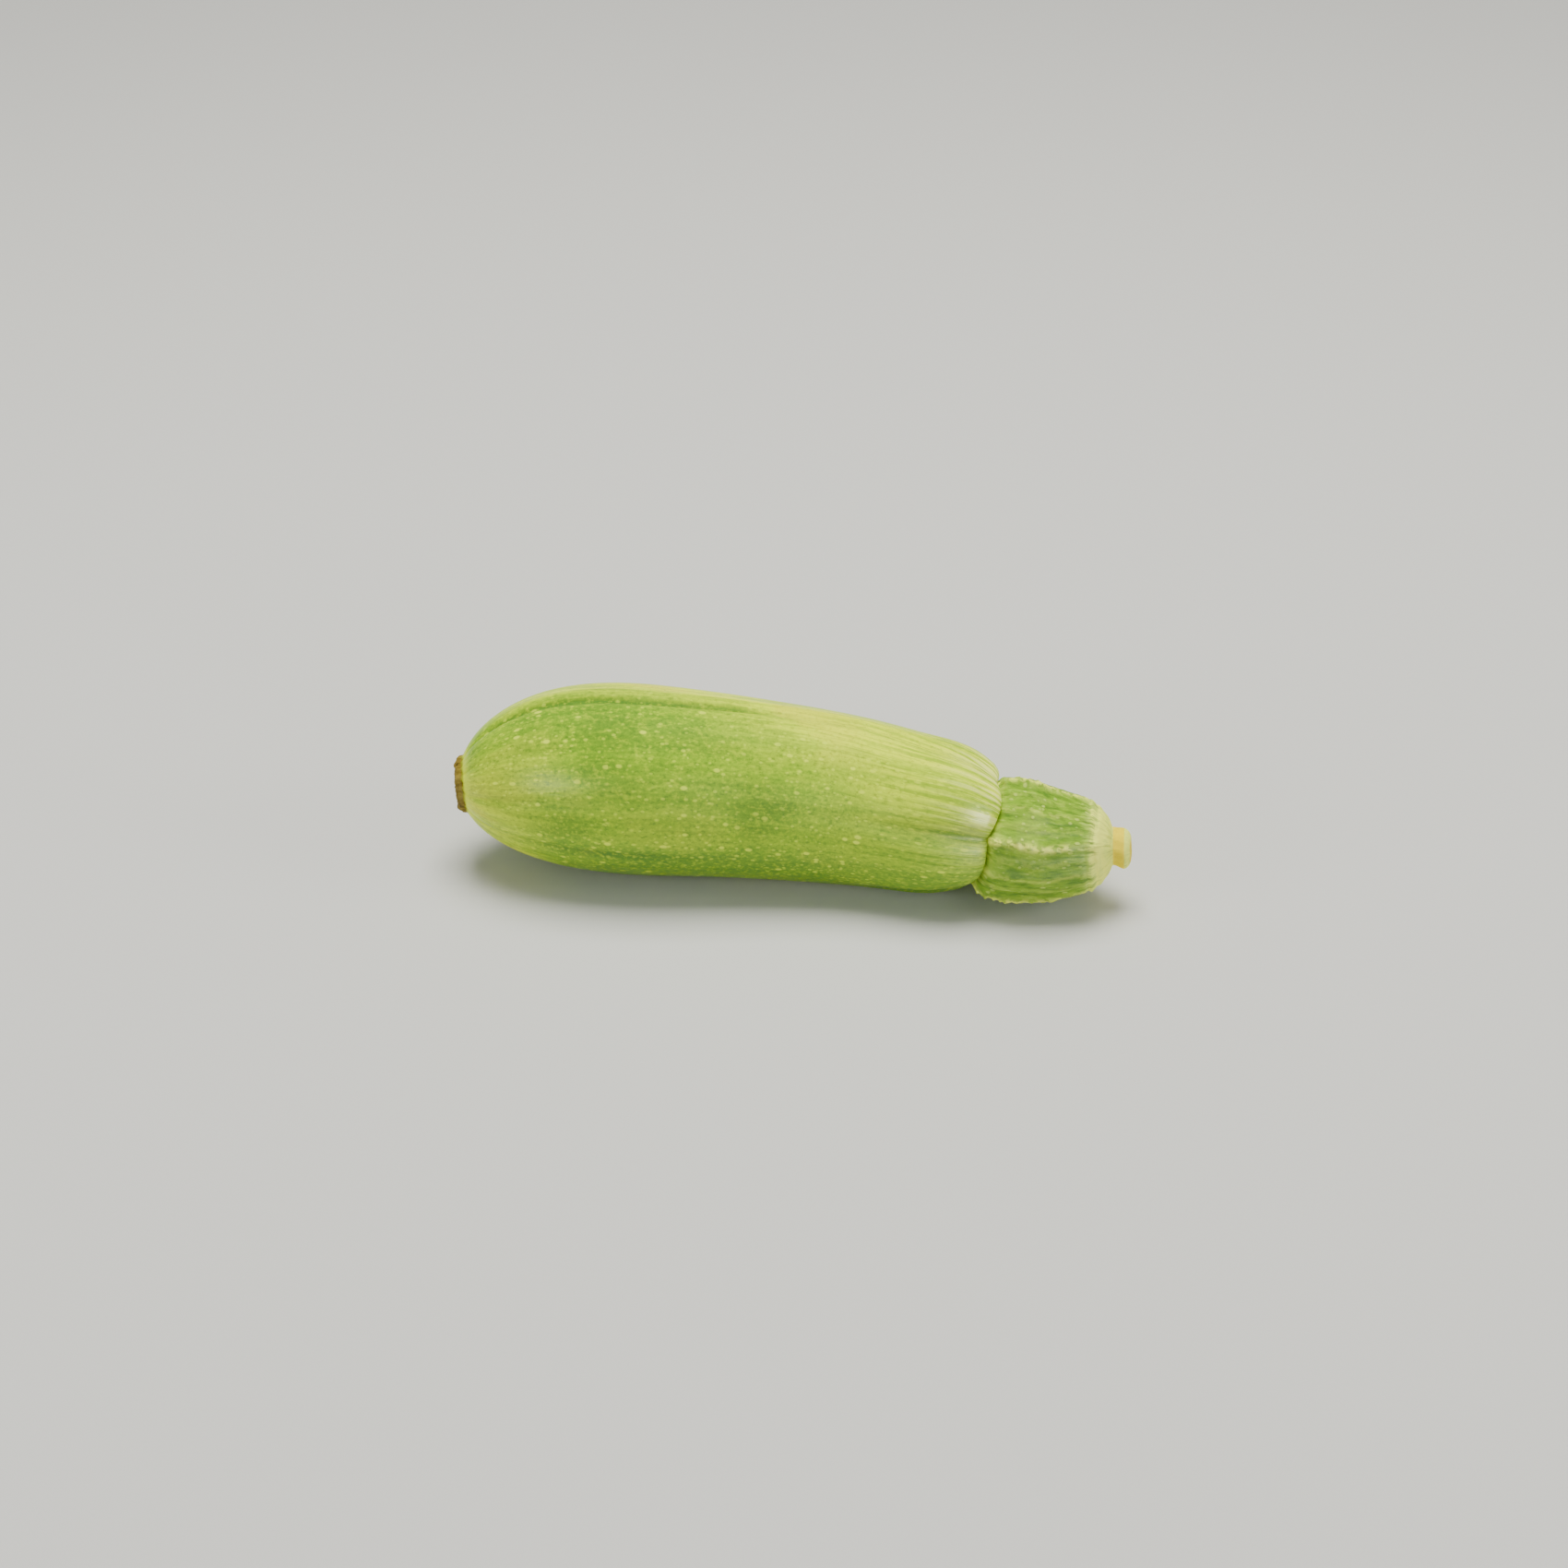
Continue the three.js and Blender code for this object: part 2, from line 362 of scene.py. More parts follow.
@dataclass(frozen=True)
class StalkFinish:
    """Fibrous green stalk with pale ridges that carry a painted highlight along their crests, a cream
    cut rim and an ochre core.
    """

    dark: Colour = (0.085, 0.215, 0.016)
    green: Colour = (0.235, 0.420, 0.016)
    ridge: Colour = (0.640, 0.800, 0.130)
    cream: Colour = (0.930, 1.000, 0.140)
    core: Colour = (0.980, 0.760, 0.000)
    roughness: float = 0.5

    def build(self) -> bpy.types.Material:
        """Makes the material."""
        f = Finish("ridged_stalk")
        growth = f.attribute("growth")
        crest, cut, core = f.split(f.attribute("marks"))

        fibres = f.noise(f.stretched(growth, (0.20, 1.0, 1.0)), 10.0, 4.0, 0.66)
        clouds = f.noise(f.stretched(growth, (0.6, 1.0, 1.0)), 1.3, 3.0, 0.55)
        grain = f.noise(growth, 18.0, 4.0, 0.65)
        beads = f.noise(f.stretched(growth, (0.6, 1.0, 1.0)), 8.0, 2.0)
        pores = f.dots(f.stretched(growth, (0.7, 1.0, 1.0)), 6.0, 0.36, 0.8)
        rings = f.noise(f.stretched(growth, (1.0, 0.12, 0.12)), 6.5, 3.0, 0.6)

        colour = f.mix(f.ramp(fibres, 0.30, 0.62), self.dark, self.green)
        colour = f.mix(f.ramp(clouds, 0.45, 0.70) * 0.22, colour, self.ridge)
        colour = f.mix(f.ramp(fibres, 0.56, 0.72) * 0.40, colour, self.ridge)
        # Pale ridge colour with a painted highlight: the crests are laid in cream, broken into beads.
        colour = f.mix(crest * (0.20 + 0.72 * f.ramp(beads, 0.42, 0.54)), colour, self.cream)
        colour = f.mix(pores * 0.70, colour, self.ridge)
        colour = f.mix(f.ramp(cut + (fibres - 0.5) * 1.8, 0.20, 0.90) * 0.50, colour, self.ridge)
        ragged = f.ramp(cut + (fibres - 0.5) * 1.1 + (rings - 0.5) * 0.7, 0.66, 0.98)
        colour = f.mix(ragged, colour, self.cream)
        colour = f.mix(ragged * f.ramp(rings, 0.52, 0.40) * 0.35, colour, self.ridge)
        colour = f.mix(ragged * f.ramp(fibres, 0.50, 0.34) * 0.30, colour, self.green)
        pith = f.ramp(core + (grain - 0.5) * 0.4, 0.35, 0.65)
        colour = f.mix(pith, colour, self.core)
        colour = f.mix(pith * f.ramp(grain, 0.58, 0.72) * 0.3, colour, self.cream)

        relief = fibres * 0.8 + pores * 0.6 + grain * 0.35
        return f.close(
            {
                "Base Color": colour,
                "Roughness": self.roughness + 0.2 * (grain - 0.5) + 0.1 * cut,
                "Normal": f.bump(relief, 0.00035),
            },
            {
                "IOR": 1.45,
                "Specular IOR Level": 0.20,
                "Subsurface Weight": 0.10,
                "Subsurface Radius": (1.0, 1.0, 0.25),
                "Subsurface Scale": 0.002,
            },
        )


@dataclass(frozen=True)
class FloorFinish:
    """Plain pale matt floor."""

    colour: Colour = (0.64, 0.635, 0.64)
    worn: Colour = (0.48, 0.47, 0.45)

    def build(self) -> bpy.types.Material:
        """Makes the material."""
        f = Finish("pale_floor")
        tone = f.noise(f.node("ShaderNodeTexCoord").outputs["Object"], 6.0, 3.0)
        colour = f.mix(tone * 0.06, self.colour, self.worn)
        return f.close({"Base Color": colour}, {"Roughness": 0.75})


# ------------------------------------------------------------------ how the plant grew


def step(value: np.ndarray, low: float, high: float) -> np.ndarray:
    """A smooth step from 0 at low to 1 at high."""
    share = np.clip((value - low) / (high - low), 0.0, 1.0)
    return share * share * (3.0 - 2.0 * share)


def zone(value: np.ndarray, rise: tuple[float, float], fall: tuple[float, float]) -> np.ndarray:
    """1 between a smooth rise and a later smooth fall, and 0 outside them."""
    return step(value, *rise) * (1.0 - step(value, *fall))


def crest(angle: np.ndarray, first: np.ndarray | float, count: int, width: float) -> np.ndarray:
    """A crest on each of several equal divisions of the turn.

    Args:
        angle: Angles round the axis, in radians.
        first: The first crest's angle, in radians.
        count: How many crests go round.
        width: Half-width of a crest, in degrees.

    Returns:
        1 on the crests and 0 between them.
    """
    pitch = math.tau / count
    off = np.mod(angle - first + pitch / 2.0, pitch) - pitch / 2.0
    return np.exp(-((off / math.radians(width)) ** 2))


def bell(angle: np.ndarray, centre: float, width: float) -> np.ndarray:
    """1 at one angle round the axis and 0 away from it, in degrees."""
    return crest(angle, math.radians(centre), 1, width)


def grains(points: np.ndarray, scale: float, seed: float) -> np.ndarray:
    """Gradient noise between -1 and 1 at rows of points."""
    shift = Vector((seed, -seed, 2.0 * seed))
    return np.array([noise.noise(Vector(row) * scale + shift) for row in points.tolist()])


@dataclass(frozen=True)
class Growth:
    """The bent axis that the fruit and its stem share, and the joint between them. Millimetres."""

    pitch: float = 24.0
    sway: tuple[float, ...] = (-1.2, -1.8, -0.4, 0.4, 3.5, 11.0, 16.2, 19.2)
    lift: tuple[float, ...] = (22.3, 24.0, 23.6, 22.1, 20.4, 18.9, 16.0, 17.0)
    joint: float = 128.6
    neck_radius: float = 13.9
    ridge_angle: float = 23.0
    ridge_count: int = 5
    scallop: float = 0.4
    tilt: float = 3.0
    tilt_angle: float = 34.0

    def _knots(self) -> np.ndarray:
        """The axis's points, with one more past each end."""
        pairs = enumerate(zip(self.sway, self.lift))
        knots = np.array([(i * self.pitch, -sway, lift) for i, (sway, lift) in pairs])
        return np.vstack([2.0 * knots[0] - knots[1], knots, 2.0 * knots[-1] - knots[-2]])

    def carry(self, station: np.ndarray, angle: np.ndarray, radius: np.ndarray) -> np.ndarray:
        """Carries points from the straight axis to the bent one.

        Args:
            station: Distances along the axis from the blossom end.
            angle: Angles round it in radians, from the front up over the top.
            radius: Distances from it.

        Returns:
            Rows of x, y and z.
        """
        knots = self._knots()
        last = len(self.sway) - 1
        place = np.clip(station / self.pitch, 0.0, last)
        span = np.minimum(place.astype(int), last - 1)
        w = (place - span)[:, None]
        p0, p1, p2, p3 = (knots[span + i] for i in range(4))
        start, end = (p2 - p0) / 2.0, (p3 - p1) / 2.0
        cubic, square = 2.0 * p1 - 2.0 * p2 + start + end, -3.0 * p1 + 3.0 * p2 - 2.0 * start - end
        centre = ((cubic * w + square) * w + start) * w + p1
        along = (3.0 * cubic * w + 2.0 * square) * w + start
        along /= np.linalg.norm(along, axis=1, keepdims=True)
        front = np.cross(along, (0.0, 0.0, 1.0))
        front /= np.linalg.norm(front, axis=1, keepdims=True)
        above = np.cross(front, along)
        past = (station - place * self.pitch)[:, None]
        across = np.cos(angle)[:, None] * front + np.sin(angle)[:, None] * above
        return centre + past * along + radius[:, None] * across

    def joint_shift(self, angle: np.ndarray, radius: np.ndarray) -> np.ndarray:
        """How far the joint's face stands forward of its mean station."""
        lobes = -np.cos(self.ridge_count * (angle - math.radians(self.ridge_angle)))
        askew = self.tilt * np.cos(angle - math.radians(self.tilt_angle))
        return np.minimum(1.0, radius / self.neck_radius) ** 2 * (self.scallop * lobes + askew)


# ------------------------------------------------------------------ modelling


def deselect() -> None:
    """Leaves object mode with nothing selected."""
    if bpy.context.object and bpy.context.object.mode != "OBJECT":
        bpy.ops.object.mode_set(mode="OBJECT")
    bpy.ops.object.select_all(action="DESELECT")


def drawn_out(
    name: str, profile: list[tuple[float, float]], sides: int, levels: int
) -> bpy.types.Object:
    """Draws a round body out of a disc along +X, ring by ring, and smooths it.

    Args:
        name: The piece's name.
        profile: Stations and radii of the rings, in millimetres, the first and last ones small.
        sides: Vertices round each ring.
        levels: Subdivision levels.

    Returns:
        The closed body, straight, with its axis on X.
    """
    deselect()
    station, radius = profile[0]
    bpy.ops.mesh.primitive_circle_add(
        vertices=sides,
        radius=radius * MM,
        fill_type="TRIFAN",
        location=(station * MM, 0.0, 0.0),
        rotation=(0.0, math.pi / 2.0, 0.0),
    )
    body = bpy.context.object
    body.name = name
    bpy.ops.object.transform_apply(location=True, rotation=True, scale=True)
    bpy.ops.object.mode_set(mode="EDIT")
    bpy.ops.mesh.select_all(action="SELECT")
    for following, wider in profile[1:]:
        travel = (following - station) * MM
        bpy.ops.mesh.extrude_region_move(TRANSFORM_OT_translate={"value": (travel, 0.0, 0.0)})
        bpy.ops.transform.resize(
            value=(1.0, wider / radius, wider / radius),
            center_override=(following * MM, 0.0, 0.0),
        )
        station, radius = following, wider
    bpy.ops.mesh.select_all(action="SELECT")
    bpy.ops.mesh.normals_make_consistent(inside=False)
    bpy.ops.object.mode_set(mode="OBJECT")
    rounding = body.modifiers.new("rounding", "SUBSURF")
    rounding.levels = rounding.render_levels = levels
    bpy.ops.object.modifier_apply(modifier=rounding.name)
    return body


def points_of(piece: bpy.types.Object) -> np.ndarray:
    """A mesh's points in millimetres, one a row."""
    flat = np.empty(3 * len(piece.data.vertices))
    piece.data.vertices.foreach_get("co", flat)
    return flat.reshape(-1, 3) / MM


def round_the_axis(straight: np.ndarray) -> tuple[np.ndarray, np.ndarray, np.ndarray]:
    """The station, the angle and the radius of each point of a straight body."""
    x, y, z = straight.T
    return x, np.arctan2(z, -y), np.hypot(y, z)


def ring_of(angle: np.ndarray) -> np.ndarray:
    """The points of a unit ring at angles, forward and up."""
    return np.column_stack([np.cos(angle), np.sin(angle)])


def place_points(piece: bpy.types.Object, points: np.ndarray) -> None:
    """Moves a mesh's points to rows of millimetres."""
    piece.data.vertices.foreach_set("co", (points * MM).ravel())
    piece.data.update()


def mark(piece: bpy.types.Object, name: str, rows: np.ndarray) -> None:
    """Stores a vector at each point of a mesh, for its finish to read."""
    made = piece.data.attributes.new(name, "FLOAT_VECTOR", "POINT")
    made.data.foreach_set("vector", np.ascontiguousarray(rows, dtype=np.float32).ravel())


def smooth(piece: bpy.types.Object, degrees: float) -> None:
    """Shades a piece smooth, but for edges sharper than an angle."""
    deselect()
    piece.select_set(True)
    bpy.context.view_layer.objects.active = piece
    bpy.ops.object.shade_smooth_by_angle(angle=math.radians(degrees))


@dataclass
class Fruit:
    """The fruit, from the corky blossom scar to the lobes that roll over the stem's foot."""

    growth: Growth
    belly_radius: float = 24.0
    belly_station: float = 45.0
    nose_bluntness: float = 0.8
    nose_fullness: float = 2.4
    shoulder_station: float = 112.5
    shoulder_roll: float = 26.6
    neck_taper: float = 0.19
    taper_curve: float = 1.25
    twist: float = 12.0
    scar_station: float = 1.0
    scar_radius: float = 7.3
    scar_rim: float = 6.4
    lip: float = 1.6
    seam_angle: float = 85.0
    seam_drift: float = 7.0
    seam_depth: float = 1.05
    low_seam_angle: float = -21.0
    low_seam_depth: float = 0.40
    ledge_height: float = 0.45
    lobe_height: float = 0.95
    sides: int = 56
    levels: int = 2
    rings: int = 38
    pattern_radius: float = 24.0
    piece: bpy.types.Object | None = field(default=None, init=False)

    def radius_at(self, station: np.ndarray | float) -> np.ndarray:
        """The mean radius of the skin at stations."""
        station = np.asarray(station, dtype=float)
        reach = self.belly_station + self.nose_bluntness
        short = np.clip(1.0 - (station + self.nose_bluntness) / reach, 0.0, 1.0)
        nose = np.sqrt(1.0 - short**self.nose_fullness)
        length = self.shoulder_station - self.belly_station
        past = np.maximum(0.0, station - self.belly_station) / length
        rolled = np.clip((station - self.shoulder_station) / self.shoulder_roll, 0.0, 0.99)
        taper = 1.0 - self.neck_taper * past**self.taper_curve
        return self.belly_radius * nose * taper * np.sqrt(1.0 - rolled**2)

    def profile(self) -> list[tuple[float, float]]:
        """Stations and radii from the middle of the scar to the hidden face under the stem."""
        scar = [(-1.0, 0.8), (-1.15, 2.6), (-1.2, 4.6), (-0.9, 6.0), (-0.3, 6.9)]
        scar += [(0.25, 7.2), (0.7, 7.15)]
        shares = [(1.0 - math.cos(math.pi * i / self.rings)) / 2.0 for i in range(self.rings + 1)]
        end = self.growth.joint
        length = end - self.lip - self.scar_station
        stations = [self.scar_station + share * length for share in shares]
        skin = [(station, float(self.radius_at(station))) for station in stations]
        lip = [(end - 0.8, 14.6), (end - 0.2, 13.9), (end + 0.1, 13.0), (end, 12.2), (end - 0.7, 11.4)]
        lip += [(end - 1.5, 7.0), (end - 1.5, 1.0)]
        return scar + skin + lip

    def relief(self, station: np.ndarray, angle: np.ndarray) -> tuple[np.ndarray, np.ndarray]:
        """How far the skin stands in or out of its mean radius, in furrows, lobes and slow waves.

        Args:
            station: Stations of the points.
            angle: Their angles.

        Returns:
            The height of each point, and the painted shade laid over it, from 0 to 1.
        """
        end = self.growth.joint
        count = self.growth.ridge_count
        wander = 2.0 * np.sin(station / 19.0) + 1.2 * np.sin(station / 7.3 + 1.0)
        first = np.radians(self.growth.ridge_angle - self.twist * (1.0 - station / end) + wander)
        neck = step(station, end - 34.0, end - 2.0)
        nose = 1.0 - step(station, 0.0, 26.0)
        main = crest(angle, first, count, 8.0)
        every = crest(angle, first, 2 * count, 5.5)
        fine = crest(angle, first, 8 * count, 2.0)
        swollen = 0.7 * np.exp(-(((station - end + 7.0) / 5.5) ** 2))
        swollen = step(station, end - 22.0, end - 5.0) + swollen
        lobes = crest(angle, first + math.pi / count, count, 22.0) * swollen
        line = np.radians(self.seam_angle + self.seam_drift * step(station, 40.0, 110.0))
        seam = crest(angle, line, 1, 2.9) * zone(station, (2.0, 12.0), (56.0, 104.0))
        ledge = crest(angle, line + 0.14, 1, 6.0) * zone(station, (4.0, 24.0), (90.0, 124.0))
        low_seam = bell(angle, self.low_seam_angle, 3.0) * zone(station, (8.0, 18.0), (40.0, 70.0))
        body = 1.15 * neck * main + (0.14 + 0.34 * nose) * every + 0.10 * (nose + 0.6 * neck) * fine
        furrows = body + self.seam_depth * seam + self.low_seam_depth * low_seam
        waves = 0.22 * np.sin(station / 13.0 + 2.0 * np.cos(angle))
        waves = waves + 0.18 * np.cos(2.0 * angle - station / 31.0)
        puffed = self.lobe_height * (0.35 + 0.65 * bell(angle, 75.0, 62.0))
        ledges = self.ledge_height * ledge
        height = puffed * lobes - furrows + ledges + waves * step(station, 2.0, 20.0)
        # Painted shade: the furrows and seams are darkened, the lower flank is darkened where the
        # fruit turns from the light, and a band just below the top seam is darkened too.
        below = -np.degrees(angle)
        flank = zone(below, (0.0, 34.0), (70.0, 115.0)) * step(station, 14.0, 40.0)
        under = bell(angle, 68.0, 17.0) * zone(station, (6.0, 20.0), (50.0, 95.0))
        lines = seam**1.6 + 0.35 * low_seam
        shade = 0.55 * neck * main + 0.17 * every + lines + 0.66 * flank + 0.42 * under
        return height, np.clip(shade, 0.0, 1.0)

    def skin_travel(self, station: np.ndarray) -> np.ndarray:
        """How far over the skin each station lies from the scar's edge."""
        fine = np.linspace(-2.0, self.growth.joint + 2.0, 1000)
        slopes = np.gradient(self.radius_at(np.maximum(fine, self.scar_station)), fine)
        arc = np.concatenate([[0.0], np.cumsum(np.hypot(1.0, slopes[1:]) * np.diff(fine))])
        return np.interp(station, fine, arc - np.interp(self.scar_station, fine, arc))

    def paleness(self, station: np.ndarray, angle: np.ndarray, painted_shade: np.ndarray) -> np.ndarray:
        """How pale the skin is along its top, on its shoulder, at its tip and where it rests.

        Args:
            station: Stations of the points.
            angle: Their angles.
            painted_shade: The painted shade of each point, darker in the furrows and seams and along
                the lower flank, which dims its paleness.

        Returns:
            The paleness of each point, from 0 to 1.
        """
        end = self.growth.joint
        top = bell(angle, 104.0, 14.0) * step(station, 4.0, 22.0)
        top = top + bell(angle, 82.0, 27.0) * step(station, 45.0, 95.0)
        shoulder = 0.06 + 0.94 * bell(angle, 74.0, 48.0)
        shoulder = shoulder * step(station, end - 44.0, end - 10.0)
        tip = 0.75 * (1.0 - step(station, 3.0, 28.0)) * bell(angle, -22.0, 66.0)
        resting = 0.5 * bell(angle, -92.0, 26.0) * zone(station, (20.0, 45.0), (85.0, 115.0))
        palest = np.maximum.reduce([top, shoulder, tip, resting])
        return np.clip(palest * (1.0 - 0.75 * painted_shade), 0.0, 1.0)

    def shape(self) -> None:
        """Gives the straight body its furrows and lobes, bends it, and marks its pattern."""
        station, angle, radius = round_the_axis(points_of(self.piece))
        end = self.growth.joint
        skin = step(station, self.scar_station - 0.4, self.scar_station + 0.6)
        share = np.minimum(1.0, radius / np.maximum(1.0, self.radius_at(station)))
        # The second value is the painted shade of the furrows, seams and lower flank.
        height, painted_shade = self.relief(station, angle)
        ring = ring_of(angle)
        cork = np.column_stack([station, radius[:, None] * ring])
        on_scar = 1.0 - skin
        crumbs = on_scar * (0.35 * grains(cork, 0.9, 3.0) + 0.22 * grains(cork, 2.2, 7.0))
        rim = on_scar * np.exp(-(((radius - self.scar_rim) / 0.9) ** 2))
        teeth = rim * np.maximum(0.0, grains(cork * (0.3, 1.0, 1.0), 0.55, 11.0)) * 0.9
        raised = radius + skin * share**2 * height
        pull = step(station, end - 30.0, end)
        shifted = station + pull * self.growth.joint_shift(angle, raised) - crumbs - teeth
        bent = self.growth.carry(shifted, angle, raised)
        bent[:, 2] = np.maximum(0.0, bent[:, 2])
        place_points(self.piece, bent)

        along = np.where(skin > 0.5, self.skin_travel(station), radius - self.scar_radius)
        spread = np.where(skin > 0.5, self.pattern_radius, radius)
        mark(self.piece, "growth", PATTERN_UNIT * np.column_stack([along, spread[:, None] * ring]))
        crown = self.paleness(station, angle, painted_shade)
        mark(self.piece, "marks", np.column_stack([on_scar, crown, painted_shade]))

    def build(self) -> bpy.types.Object:
        """Models and dresses the fruit, hangs it under the root body and hides the CAD model's fruit.

        Returns:
            The finished piece, still where the axis grew.
        """
        self.piece = drawn_out("fruit_skin", self.profile(), self.sides, self.levels)
        self.shape()
        smooth(self.piece, 60.0)
        self.piece.data.materials.append(SkinFinish().build())
        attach(self.piece, "root")
        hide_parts("fruit")
        return self.piece


@dataclass
class Stem:
    """The ridged stem, from the foot under the fruit's lobes to the knob of its core."""

    growth: Growth
    rim: float = 26.2
    gap: float = 0.3
    knob_station: float = 30.6
    collar_pitch: float = 2.1
    knob: float = 4.9
    knob_lean: float = 0.9
    ridge_height: float = 1.5
    twist: float = 6.0
    sides: int = 64
    levels: int = 2
    pattern_radius: float = 14.0
    piece: bpy.types.Object | None = field(default=None, init=False)

    def profile(self) -> list[tuple[float, float]]:
        """Stations past the joint and radii, from the hidden foot to the end of the knob."""
        foot = [(-1.0, 1.0), (-1.0, 6.0), (-1.0, 10.6), (-0.4, 11.8), (0.3, 12.9)]
        foot += [(1.0, 13.6), (2.0, 14.0)]
        side = [(3.5, 14.35), (5.5, 14.6), (7.5, 14.7), (9.5, 14.65), (11.5, 14.5)]
        side += [(13.5, 14.2), (15.5, 13.8)]
        taper = [(17.5, 13.35), (19.5, 12.85), (21.5, 12.3), (23.5, 11.75), (25.0, 11.2), (26.2, 10.6)]
        shoulder = [(27.2, 9.9), (28.2, 9.1), (29.0, 8.1), (29.7, 7.1), (30.2, 6.1)]
        shoulder += [(30.45, 5.4), (30.6, 4.8)]
        knob = [(31.0, 4.5), (31.8, 4.55), (32.6, 4.8), (33.4, 4.95), (34.1, 4.7)]
        knob += [(34.7, 4.1), (35.1, 3.2)]
        end = [(35.25, 2.4), (35.3, 1.7), (35.3, 1.0)]
        return foot + side + taper + shoulder + knob + end

    def ridge_line(self, station: np.ndarray) -> np.ndarray:
        """The first ridge's angle at stations, in radians."""
        turned = np.radians(self.growth.ridge_angle + self.twist * station / self.rim)
        return turned + 0.03 * np.sin(station / 3.1)

    def on_knob(self, station: np.ndarray) -> np.ndarray:
        """1 on the knob and 0 before it."""
        return step(station, self.knob_station, self.knob_station + 0.6)

    def marks(self, station: np.ndarray, angle: np.ndarray, radius: np.ndarray) -> np.ndarray:
        """How pale (pale ridges with a painted highlight on their crests, and a foot lightened by
        painted light), how near the cut rim and how much of the core each point is.

        Args:
            station: Stations of the points.
            angle: Their angles.
            radius: Their radii.

        Returns:
            Rows of the three, each from 0 to 1.
        """
        count = self.growth.ridge_count
        first = self.ridge_line(station)
        between = crest(angle, first + math.pi / count, count, 3.0)
        quarter = crest(angle, first + math.pi / (2 * count), 2 * count, 4.0)
        # Pale ridges, partly their own colour and partly a painted highlight along the crests; the
        # foot by the joint is lightened, painted light that lifts the shade of the crease there.
        foot = 0.25 * (1.0 - step(station, 0.4, 1.8))
        pale = crest(angle, first, count, 3.6) + 0.30 * between + 0.16 * quarter + foot
        inner = np.maximum(1.0 - step(radius, 2.8, 3.8), 1.0 - step(station, 33.2, 34.0))
        core = self.on_knob(station) * inner
        return np.column_stack([np.clip(pale, 0.0, 1.0), step(station, 20.5, 28.5), core])

    def shape(self) -> None:
        """Raises the ridges, fibres and prickles, bends the stem, and marks its pattern."""
        station, angle, radius = round_the_axis(points_of(self.piece))
        ring = ring_of(angle)
        count = self.growth.ridge_count
        first = self.ridge_line(station)
        main = crest(angle, first, count, 7.5)
        between = crest(angle, first + math.pi / count, count, 6.0)
        quarter = crest(angle, first + math.pi / (2 * count), 2 * count, 4.0)
        side = step(radius, 6.5, 10.5)
        fade = 1.0 - 0.6 * step(station, 6.0, self.rim + 1.0)
        pattern = np.column_stack([station, self.pattern_radius * ring])
        fibres = grains(pattern * (0.12, 1.0, 1.0), 0.75, 5.0)
        fibres = fibres + 0.5 * grains(pattern * (0.1, 1.0, 1.0), 1.7, 9.0)
        pimples = np.maximum(0.0, grains(pattern * (0.8, 1.0, 1.0), 0.8, 2.0) - 0.15)
        beads = main * np.maximum(0.0, grains(pattern, 0.95, 6.0)) * 1.3
        bold = self.ridge_height * fade * (main + 0.32 * between + 0.18 * quarter - 0.28)
        height = bold + fade * (0.16 * fibres + 0.45 * pimples + beads)
        lumps = 0.25 * grains(pattern, 0.12, 1.0)
        lumps = lumps + 0.15 * grains(pattern * (0.4, 1.0, 1.0), 0.35, 4.0)
        collar = zone(station, (22.5, 25.5), (30.0, self.knob_station))
        turns = station / self.collar_pitch + 0.25 * np.sin(angle * 3.0)
        lumps = lumps + 0.22 * collar * np.sin(math.tau * turns)
        flare = 0.8 * bell(angle, -20.0, 42.0) * zone(station, (-0.5, 2.0), (3.0, 12.0))
        raised = radius + side * (height + lumps + flare)
        wrinkles = (1.0 - side) * step(radius, self.knob, self.knob + 1.0) * step(station, 20.0, 28.0)
        folds = 0.35 * wrinkles * crest(angle, first, 4 * count, 3.0)
        knobbly = 0.35 * grains(pattern * (0.3, 0.4, 0.4), 0.6, 8.0)
        raised = raised + self.on_knob(station) * step(radius, 3.0, 4.4) * knobbly
        torn = 0.20 * grains(np.column_stack([station, radius[:, None] * ring]), 0.45, 12.0)
        torn = torn * step(station, 33.8, 34.8)
        pull = 1.0 - step(station, 0.0, 0.7 * self.rim)
        seat = self.growth.joint + self.gap + pull * self.growth.joint_shift(angle, raised)
        bent = self.growth.carry(seat + station - folds + torn, angle, raised)
        bent[:, 2] -= self.knob_lean * step(station, 29.6, 34.0)
        place_points(self.piece, bent)

        mark(self.piece, "growth", PATTERN_UNIT * pattern)
        mark(self.piece, "marks", self.marks(station, angle, radius))

    def build(self) -> bpy.types.Object:
        """Models and dresses the stem, hangs it under the root body and hides the CAD model's stem.

        Returns:
            The finished piece, still where the axis grew.
        """
        self.piece = drawn_out("stem_stalk", self.profile(), self.sides, self.levels)
        self.shape()
        smooth(self.piece, 70.0)
        self.piece.data.materials.append(StalkFinish().build())
        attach(self.piece, "root")
        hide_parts("stem")
        return self.piece


def settle(pieces: list[bpy.types.Object]) -> None:
    """Slides the pieces over the middle of the CAD model's footprint.

    Args:
        pieces: The pieces, modelled where the axis grew.
    """
    clouds = [points_of(piece) for piece in pieces]
    every = np.vstack(clouds)
    middle = (every.min(axis=0) + every.max(axis=0)) / 2.0
    wanted = (np.array(CAD_BOX[0]) + np.array(CAD_BOX[1])) / (2.0 * MM)
    slide = np.array([wanted[0] - middle[0], wanted[1] - middle[1], 0.0])
    for piece, cloud in zip(pieces, clouds):
        place_points(piece, cloud + slide)


# ------------------------------------------------------------------ the studio


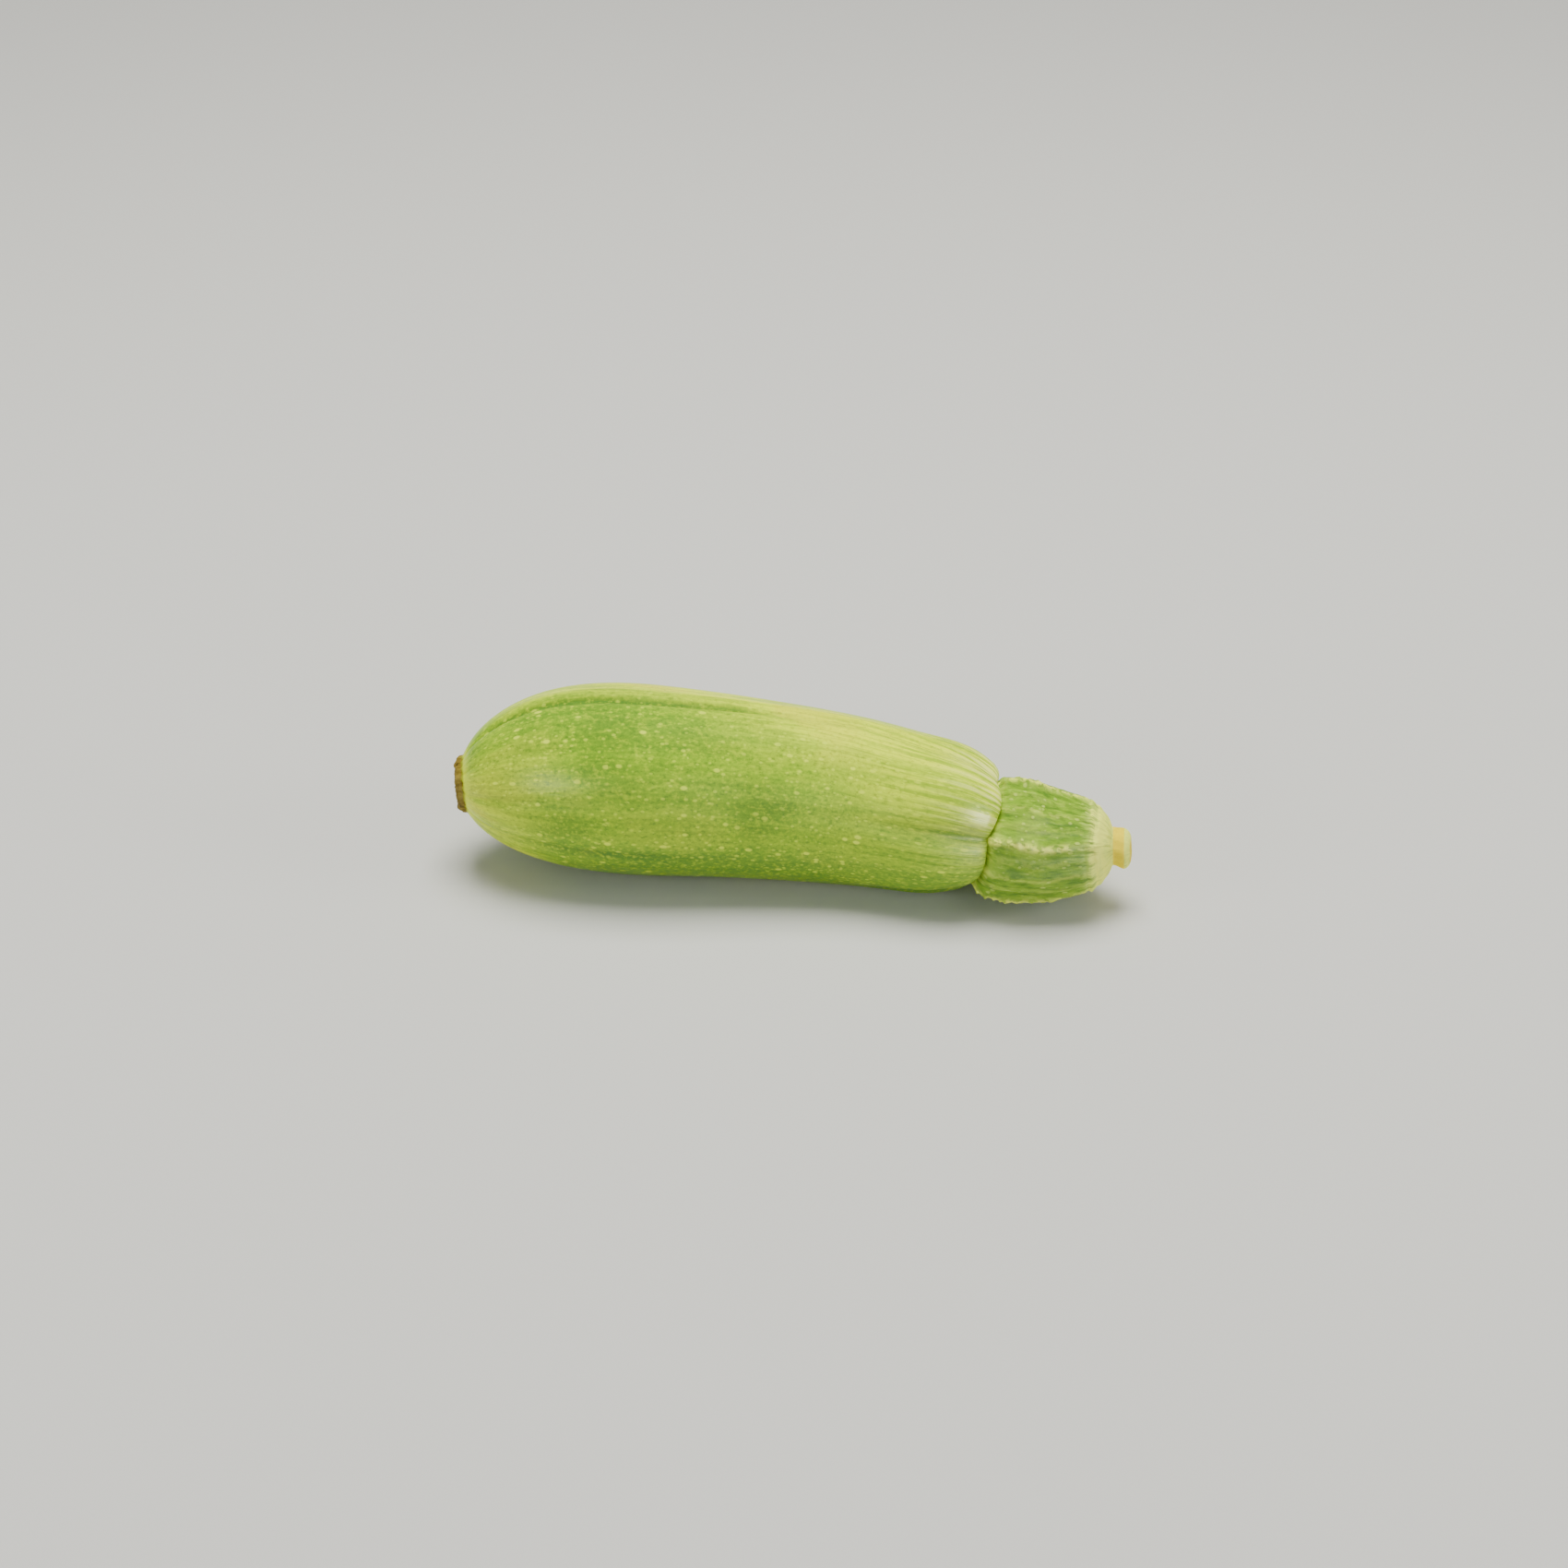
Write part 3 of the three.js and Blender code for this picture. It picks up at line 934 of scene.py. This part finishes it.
@dataclass
class Studio:
    """The floor, the soft lights and the camera."""

    elevation: float = 31.0
    distance: float = 0.76
    lens: float = 70.9
    aim: Colour = (-0.0016, 0.0, 0.0246)

    def floor(self) -> None:
        """Lays the floor at the height that the zucchini lies on."""
        deselect()
        bpy.ops.mesh.primitive_plane_add(size=6.0, location=(0.0, 0.0, 0.0))
        laid = bpy.context.object
        laid.name = "floor"
        laid.data.materials.append(FloorFinish().build())

    def light(
        self, name: str, place: Colour, size: float, watts: float, blue: float
    ) -> bpy.types.Object:
        """Hangs one square soft light that faces the zucchini.

        Args:
            name: The light's name.
            place: Where it hangs, in metres.
            size: Its side, in metres.
            watts: Its power.
            blue: How much blue it has, which is 1 in white light and less in warm light.

        Returns:
            The light.
        """
        lamp = bpy.data.lights.new(name, "AREA")
        lamp.size = size
        lamp.energy = watts
        lamp.color = (1.0, 0.995, blue)
        hung = bpy.data.objects.new(name, lamp)
        hung.location = place
        hung.rotation_euler = (-Vector(place)).to_track_quat("-Z", "Y").to_euler()
        bpy.context.scene.collection.objects.link(hung)
        return hung

    def lights(self) -> None:
        """Hangs the soft lights and lightens the surroundings."""
        self.light("overhead", (0.0, 0.16, 1.3), 0.8, 29.0, 0.88).visible_glossy = False
        self.light("left_window", (-1.05, -0.55, 0.36), 0.36, 3.4, 1.0).visible_glossy = False
        self.light("end_window", (1.10, -0.25, 0.50), 0.40, 3.6, 0.9).visible_glossy = False
        self.light("left_sheen", (-0.69, -0.87, 0.34), 0.16, 8.0, 1.0).visible_diffuse = False
        self.light("right_sheen", (0.64, -0.89, 0.26), 0.10, 34.0, 1.0).visible_diffuse = False
        world = bpy.data.worlds.new("soft_room")
        world.use_nodes = True
        background = next(n for n in world.node_tree.nodes if n.type == "BACKGROUND")
        background.inputs["Color"].default_value = (1.0, 1.0, 1.0, 1.0)
        background.inputs["Strength"].default_value = 0.22
        bpy.context.scene.world = world

    def camera(self) -> None:
        """Sets the camera up, looking down along +Y."""
        tilt = math.radians(self.elevation)
        back = Vector((0.0, -math.cos(tilt), math.sin(tilt)))
        sight = bpy.data.cameras.new("camera")
        sight.lens = self.lens
        sight.sensor_width = 36.0
        held = bpy.data.objects.new("camera", sight)
        held.location = Vector(self.aim) + self.distance * back
        held.rotation_euler = (math.pi / 2.0 - tilt, 0.0, 0.0)
        bpy.context.scene.collection.objects.link(held)
        bpy.context.scene.camera = held


def write_sizes() -> None:
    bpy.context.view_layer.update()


def main() -> None:
    """Builds the zucchini and its studio."""
    logging.basicConfig(level=logging.INFO, format="%(name)s: %(message)s")
    growth = Growth()
    pieces = [Fruit(growth).build(), Stem(growth).build()]
    settle(pieces)
    for piece in pieces:
        log.info("%s: %d faces", piece.name, len(piece.data.polygons))
    studio = Studio()
    studio.floor()
    studio.lights()
    studio.camera()
    log.info("studio: floor, lights and camera")
    write_sizes()


if __name__ == "__main__":
    main()
